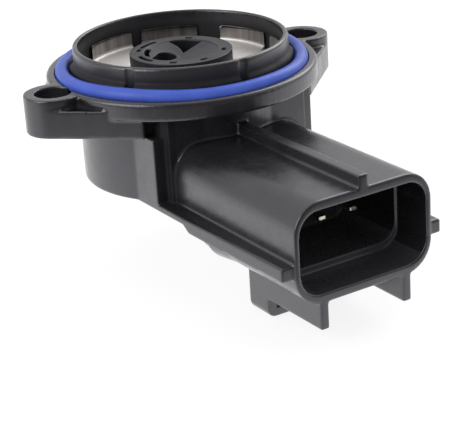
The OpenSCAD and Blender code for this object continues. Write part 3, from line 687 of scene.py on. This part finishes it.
def turned_copies(piece, count, reach, material):
    """Repeats the piece round the rotor's axis by Geometry Nodes and joins the copies' seams"""
    tree = bpy.data.node_groups.new("turned_copies", "GeometryNodeTree")
    sizes = (("Copies", "NodeSocketInt", count), ("Join Reach", "NodeSocketFloat", reach),
             ("Material", "NodeSocketMaterial", material))
    tree.interface.new_socket("Geometry", in_out="INPUT", socket_type="NodeSocketGeometry")
    for name, kind, _ in sizes:
        tree.interface.new_socket(name, in_out="INPUT", socket_type=kind)
    tree.interface.new_socket("Geometry", in_out="OUTPUT", socket_type="NodeSocketGeometry")
    made, links = tree.nodes, tree.links
    start, end = made.new("NodeGroupInput"), made.new("NodeGroupOutput")
    points = made.new("GeometryNodePoints")
    links.new(start.outputs["Copies"], points.inputs["Count"])
    index = made.new("GeometryNodeInputIndex")
    step = reckoned(tree, "DIVIDE", 2 * math.pi, start.outputs["Copies"])
    turn = reckoned(tree, "MULTIPLY", index.outputs["Index"], step)
    angles = made.new("ShaderNodeCombineXYZ")
    links.new(turn, angles.inputs["Z"])
    place = made.new("GeometryNodeInstanceOnPoints")
    links.new(points.outputs[0], place.inputs["Points"])
    links.new(start.outputs["Geometry"], place.inputs["Instance"])
    links.new(angles.outputs[0], place.inputs["Rotation"])
    real = made.new("GeometryNodeRealizeInstances")
    links.new(place.outputs[0], real.inputs[0])
    join = made.new("GeometryNodeMergeByDistance")
    links.new(real.outputs[0], join.inputs["Geometry"])
    links.new(start.outputs["Join Reach"], join.inputs["Distance"])
    paint = made.new("GeometryNodeSetMaterial")
    links.new(join.outputs[0], paint.inputs["Geometry"])
    links.new(start.outputs["Material"], paint.inputs["Material"])
    links.new(paint.outputs[0], end.inputs["Geometry"])
    copies = piece.modifiers.new("copies", "NODES")
    copies.node_group = tree
    values = {name: value for name, _, value in sizes}
    for item in tree.interface.items_tree:
        if item.in_out == "INPUT" and item.name in values:
            copies[item.identifier] = values[item.name]
    return baked(piece)


def make_retainer():
    """Flat ring whose edge bends up into four pairs of tabs with rounded corners"""
    hole, outer, low, high = round_sizes("crown_retainer")
    bend = BEND_R + SHEET_T / 2
    foot = outer - SHEET_T - BEND_R
    floor = low + SHEET_T / 2
    tab_r = foot + bend
    flat = [(r, floor) for r in np.linspace(hole, foot, 6)]
    bent = arc(foot, floor + bend, bend, -90, 0, 8)[1:]
    ends = TAB_CORNER_R * (1 - np.cos(np.linspace(0, math.pi / 2, 7)))
    length = math.radians(TAB_ANGLE) * tab_r
    straight = np.linspace(TAB_CORNER_R, length - TAB_CORNER_R, 22)[1:-1]
    along = np.concatenate([ends, straight, length - ends[::-1]])
    bm = bmesh.new()

    def column(turn, path):
        return [bm.verts.new((r * math.cos(turn), r * math.sin(turn), z)) for r, z in path]

    columns = []
    for tab, start in enumerate(TAB_STARTS):
        first = math.radians(start)
        for way in along:
            depth = TAB_CORNER_R - min(way, length - way, TAB_CORNER_R)
            top = high - TAB_CORNER_R + math.sqrt(TAB_CORNER_R ** 2 - depth ** 2)
            upright = [(tab_r, z) for z in np.linspace(floor + bend, top, 6)[1:]]
            columns.append((tab, column(first + way / tab_r, flat + bent + upright)))
        last = first + math.radians(TAB_ANGLE)
        until = math.radians((TAB_STARTS + (QUARTER,))[tab + 1])
        columns += [(None, column(turn, flat)) for turn in np.linspace(last, until, 6)[1:]]
    for (tab, here), (beside, there) in zip(columns, columns[1:]):
        rows = len(here) if tab is not None and tab == beside else len(flat)
        for i in range(rows - 1):
            bm.faces.new((here[i], there[i], there[i + 1], here[i + 1]))
    bmesh.ops.recalc_face_normals(bm, faces=bm.faces)
    mesh = bpy.data.meshes.new("crown_retainer_sheet")
    bm.to_mesh(mesh)
    bm.free()
    piece = turned_copies(link("crown_retainer_sheet", mesh), 360 // QUARTER, SAME_PLACE, SHEET)
    thick = piece.modifiers.new("thick", "SOLIDIFY")
    thick.thickness = SHEET_T
    thick.offset = 0
    thick.use_even_offset = True
    bevelled(piece, METAL_BEVEL, 2)
    baked(piece)
    piece.data.shade_smooth()
    finish(even_shading(piece), SHEET, "case", "crown_retainer", "retainer_steel")


def make_back_cover():
    """Disc with rounded edges and a shallow round recess in its underside"""
    _, outer, low, high = round_sizes("back_cover")
    seal_in, _, _, seal_high = round_sizes("cover_seal")
    b = COVER_BEVEL
    recess = COVER_RECESS_SHARE * seal_in
    outline = [(0, high), (0, low + COVER_RECESS), (recess - b, low + COVER_RECESS)]
    outline += arc(recess, low + b, b, 180, 270, 4)[1:]
    outline += arc(seal_in - b, low + b, b, -90, 0, 4)
    outline += [(seal_in, seal_high), (outer, seal_high)]
    outline += arc(outer - b, high - b, b, 0, 90, 4)
    disc = revolved("back_cover_disc", outline, 240)
    finish(even_shading(disc), COVER, "case", "back_cover", "cover_plastic")


def make_cover_seal():
    """Bead of sealant whose free side is drawn up at both walls"""
    inner, outer, low, high = round_sizes("cover_seal")
    width = outer - inner
    sag = width / 2
    dip = arc((inner + outer) / 2, low - sag / 3, sag, 180, 0, 8)
    outline = [(r, min(high, low + max(0, z - low) / 3)) for r, z in dip] + [(outer, high), (inner, high)]
    finish(revolved("cover_seal_bead", outline, 240), POTTING, "case", "cover_seal", "potting")


make_camera()
make_world()
make_floor()
make_lamp("left_softbox", LEFT_LAMP_AT)
make_lamp("right_softbox", RIGHT_LAMP_AT)

make_housing()
make_rotor()
make_seal_ring()
make_retainer()
make_back_cover()
make_cover_seal()
for terminal in ("supply_terminal", "signal_terminal", "ground_terminal"):
    soften_edges(terminal, TERMINAL_BEVEL)
soften_edges("contact_arm", COVER_BEVEL)
for node, material in {
    "return_spring": WIRE, "contact_arm": ARM, "wiper": CONTACT,
    "track_board": BOARD, "resistive_track": FILM, "conductor_traces": SILVER,
    "supply_terminal": TERMINAL, "signal_terminal": TERMINAL, "ground_terminal": TERMINAL,
    "supply_clip": CONTACT, "signal_clip": CONTACT, "ground_clip": CONTACT,
}.items():
    dress(node, material)

bpy.context.scene.view_settings.view_transform = "Standard"
